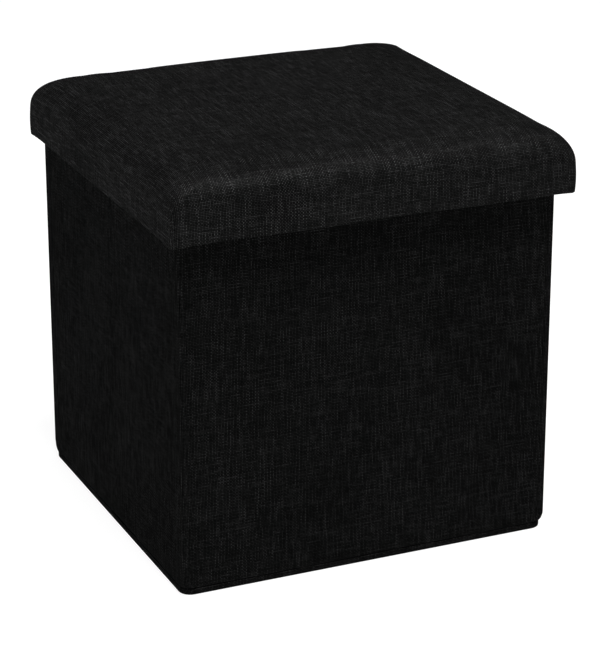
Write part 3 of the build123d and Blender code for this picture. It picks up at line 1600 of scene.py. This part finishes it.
        corners = (2.5 * MM,) * 4
        form = PanelForm(width - 2 * inset, depth - 2 * inset, 1.5 * MM, -drop, corners, cell=12 * MM)
        piece = form.patch(place).build("lid_lining_cloth", LINING)
        thicken(piece, 0.6 * MM)
        settle(piece, self.body, "lid_lining")

    def make(self) -> None:
        """Builds and dresses every piece of the lid."""
        self.cover()
        self.foam()
        self.lining()
        BOARD.dress("lid_board", *(f"lid_{side}_rail" for side in ("front", "back", "left", "right")))
        WIRE.dress("lid_staples")


# ---------------------------------------------------------------- studio


@dataclass
class Studio:
    """Pale floor, soft light and the camera."""

    camera_place: tuple[float, float, float] = (-0.8981, -2.0512, 1.0150)
    turn: float = -23.849  # degrees round the object
    tilt: float = 20.784  # degrees above the horizon
    lens: float = 146.91
    reach: float = 40.0  # of the floor

    def floor(self) -> None:
        """A wide pale floor."""
        material = bpy.data.materials.new("studio_floor")
        material.use_nodes = True
        n = Nodes(material.node_tree)
        shader = material.node_tree.nodes["Principled BSDF"]
        white = {"Emission Color": (1, 1, 1, 1), "Emission Strength": 0.86, "Specular IOR Level": 0.0}
        for name, value in {"Base Color": (0.26, 0.26, 0.26, 1), "Roughness": 1.0, **white}.items():
            n.feed(shader.inputs[name], value)
        mesh = bpy.data.meshes.new("floor")
        turns = ((-1, -1), (1, -1), (1, 1), (-1, 1))
        mesh.from_pydata([(self.reach * x, self.reach * y, 0) for x, y in turns], [], [(0, 1, 2, 3)])
        mesh.materials.append(material)
        piece = new_object("floor", mesh)
        piece.location.z = -0.3 * MM

    def light(self, name: str, place: tuple[float, float, float], size: float, power: float) -> None:
        """A square softbox that faces the middle of the ottoman.

        Args:
            name: its name.
            place: where it stands.
            size: its side.
            power: its power in watts.
        """
        lamp = bpy.data.lights.new(name, "AREA")
        lamp.size = size
        lamp.energy = power
        holder = new_object(name, lamp)
        holder.location = place
        aim = Vector((0, 0, 0.25)) - Vector(place)
        holder.rotation_euler = aim.to_track_quat("-Z", "Y").to_euler()

    def world(self) -> None:
        """Even pale surroundings."""
        world = bpy.data.worlds.new("studio")
        world.use_nodes = True
        n = Nodes(world.node_tree)
        back = world.node_tree.nodes["Background"]
        sight = n.add("ShaderNodeLightPath").outputs["Is Camera Ray"]
        n.feed(back.inputs["Strength"], n.spread(sight, 0.0, 1.0, 0.25, 1.05))
        n.feed(back.inputs["Color"], (1, 1, 1, 1))
        bpy.context.scene.world = world

    def camera(self) -> None:
        """The camera, aimed by its turn and tilt."""
        data = bpy.data.cameras.new("camera")
        data.lens = self.lens
        data.sensor_width = 36.0
        data.clip_end = 100.0
        holder = new_object("camera", data)
        holder.location = self.camera_place
        turn, tilt = math.radians(self.turn), math.radians(self.tilt)
        level = math.cos(tilt)
        aim = Vector((-math.sin(turn) * level, math.cos(turn) * level, -math.sin(tilt)))
        holder.rotation_euler = aim.to_track_quat("-Z", "Y").to_euler()
        bpy.context.scene.camera = holder

    def make(self) -> None:
        """Sets up the whole studio."""
        self.floor()
        self.world()
        self.light("key_softbox", (0.1, -0.85, 2.85), 1.2, 92.0)
        self.light("top_softbox", (0.2, 0.6, 3.0), 2.4, 10.0)
        self.light("left_fill", (-2.1, 0.7, 0.7), 1.2, 13.0)
        self.camera()
        bpy.context.scene.view_settings.view_transform = "Standard"


def build_panels() -> dict[str, Panel]:
    """Builds the six panels of the box.

    Returns:
        Each panel by its name.
    """
    rows = (
        ("front", Side.FRONT, "front_wall", (True, True)),
        ("back", Side.BACK, "base", (True, True)),
        ("left_rear", Side.LEFT, "left_rear_half", (True, False)),
        ("left_front", Side.LEFT, "left_front_half", (False, True)),
        ("right_front", Side.RIGHT, "right_front_half", (True, False)),
        ("right_rear", Side.RIGHT, "right_rear_half", (False, True)),
    )
    panels = {row[0]: Panel(*row) for row in rows}
    for panel in panels.values():
        panel.make()
    return panels


def build_hinges(panels: dict[str, Panel]) -> list[CornerSleeve]:
    """Builds the cloth that joins the panels.

    Args:
        panels: the panels by name.

    Returns:
        The corner sleeves that carry topstitching.
    """
    front, back = panels["front"], panels["back"]
    sewn = [
        CornerSleeve("front_left_sleeve", front, panels["left_front"]),
        CornerSleeve("back_left_sleeve", back, panels["left_rear"]),
        CornerSleeve("back_right_sleeve", back, panels["right_rear"]),
        CornerSleeve("front_right_sleeve", front, panels["right_front"], SleeveCut.WALL),
    ]
    plain = [
        CornerSleeve("right_front_lap", front, panels["right_front"], SleeveCut.HALF),
        CreaseStrip("left_crease_cloth", panels["left_rear"], panels["left_front"]),
        CreaseStrip("right_crease_cloth", panels["right_rear"], panels["right_front"]),
    ]
    for hinge in sewn + plain:
        hinge.build()
    return sewn


def sew_seams(panels: dict[str, Panel], sleeves: list[CornerSleeve]) -> None:
    """Sews every seam, one piece of stitching for each body.

    Args:
        panels: the panels, whose tapes are sewn down.
        sleeves: the sleeves, which are sewn along both edges.
    """
    rows: dict[str, list[list[Vector]]] = {}
    for sleeve in sleeves:
        for body, lines in sleeve.seams().items():
            rows.setdefault(body, []).extend(lines)
    for panel in panels.values():
        rows.setdefault(panel.body, []).extend(panel.tape_seams())
    for body, lines in rows.items():
        Seamstress().sew(f"{body}_stitches", body, lines)


def main() -> None:
    """Builds the ottoman and its studio."""
    panels = build_panels()
    sleeves = build_hinges(panels)
    sew_seams(panels, sleeves)
    BaseAssembly().make()
    LidAssembly().make()
    Studio().make()


if __name__ == "__main__":
    logging.basicConfig(level=logging.INFO, format="%(message)s")
    main()
